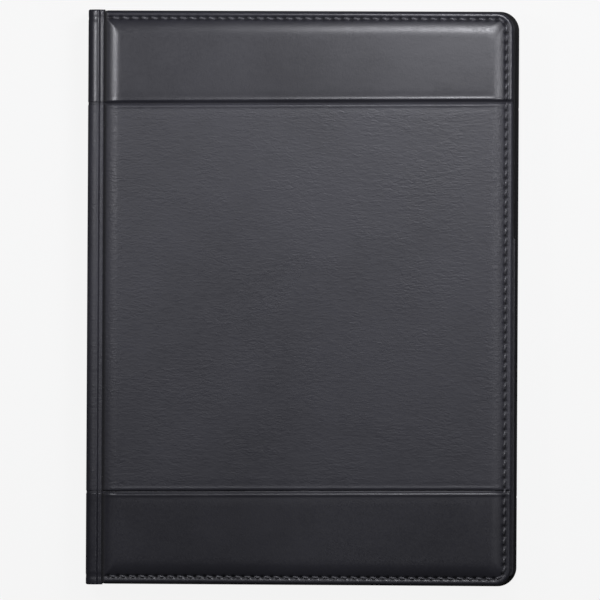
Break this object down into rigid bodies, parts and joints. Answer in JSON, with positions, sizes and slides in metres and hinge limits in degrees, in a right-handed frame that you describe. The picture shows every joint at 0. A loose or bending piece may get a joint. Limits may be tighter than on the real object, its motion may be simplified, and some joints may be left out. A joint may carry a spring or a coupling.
{
  "type": "padfolio",
  "caption": "Padded leatherette folder that closes like a book, with pockets and a pen loop inside and a letter-size writing pad that slides into its back cover.",
  "frame": {"origin": "middle of the bottom of the closed padfolio, on the surface that it lies on", "axes": "+X from the spine to the fore edge, +Y to the head, +Z out of the front cover"},
  "size_m": [0.237, 0.3186, 0.0242],
  "materials": {
    "skin_smooth": "smooth satin leatherette",
    "skin_grained": "finely crinkled leatherette",
    "ribbon": "satin leatherette ribbon",
    "pocket": "matt leatherette",
    "foam": "soft foam",
    "board": "grey board",
    "lining": "woven lining",
    "elastic": "ribbed elastic",
    "paper": "ruled writing paper",
    "chipboard": "chipboard",
    "tape": "binding tape"
  },
  "bodies": {
    "back_cover": {"back_centre_panel": "skin_grained", "back_top_band": "skin_smooth", "back_bottom_band": "skin_smooth", "back_upper_seam_ribbon": "ribbon", "back_lower_seam_ribbon": "ribbon", "back_foam": "foam", "back_board": "board", "back_lining": "lining", "pad_panel": "pocket", "pad_panel_left_hem": "pocket", "pad_panel_right_hem": "pocket", "pad_panel_bottom_hem": "pocket", "pad_panel_binding": "pocket"},
    "spine": {"spine_centre_panel": "skin_grained", "spine_top_band": "skin_smooth", "spine_bottom_band": "skin_smooth", "spine_upper_seam_ribbon": "ribbon", "spine_lower_seam_ribbon": "ribbon", "spine_board": "board", "spine_lining": "lining", "pen_loop": "elastic"},
    "front_cover": {"front_centre_panel": "skin_grained", "front_top_band": "skin_smooth", "front_bottom_band": "skin_smooth", "front_upper_seam_ribbon": "ribbon", "front_lower_seam_ribbon": "ribbon", "front_foam": "foam", "front_board": "board", "front_lining": "lining", "document_pocket": "pocket", "document_pocket_binding": "pocket", "upper_card_pocket": "pocket", "lower_card_pocket": "pocket"},
    "writing_pad": {"pad_backing": "chipboard", "pad_sheets": "paper", "pad_top_sheet": "paper", "pad_binding": "tape"}
  },
  "joints": [
    {"name": "spine_fold", "type": "hinge", "parent": "back_cover", "child": "spine", "pos_m": [-0.1142, 0, 0.0043], "axis": [0, -1, 0], "range_deg": [0, 90]},
    {"name": "cover_fold", "type": "hinge", "parent": "spine", "child": "front_cover", "pos_m": [-0.1142, 0, 0.0199], "axis": [0, -1, 0], "range_deg": [0, 90]},
    {"name": "pad_slide", "type": "slide", "parent": "back_cover", "child": "writing_pad", "axis": [0, 1, 0], "range_m": [0, 0.175]}
  ]
}
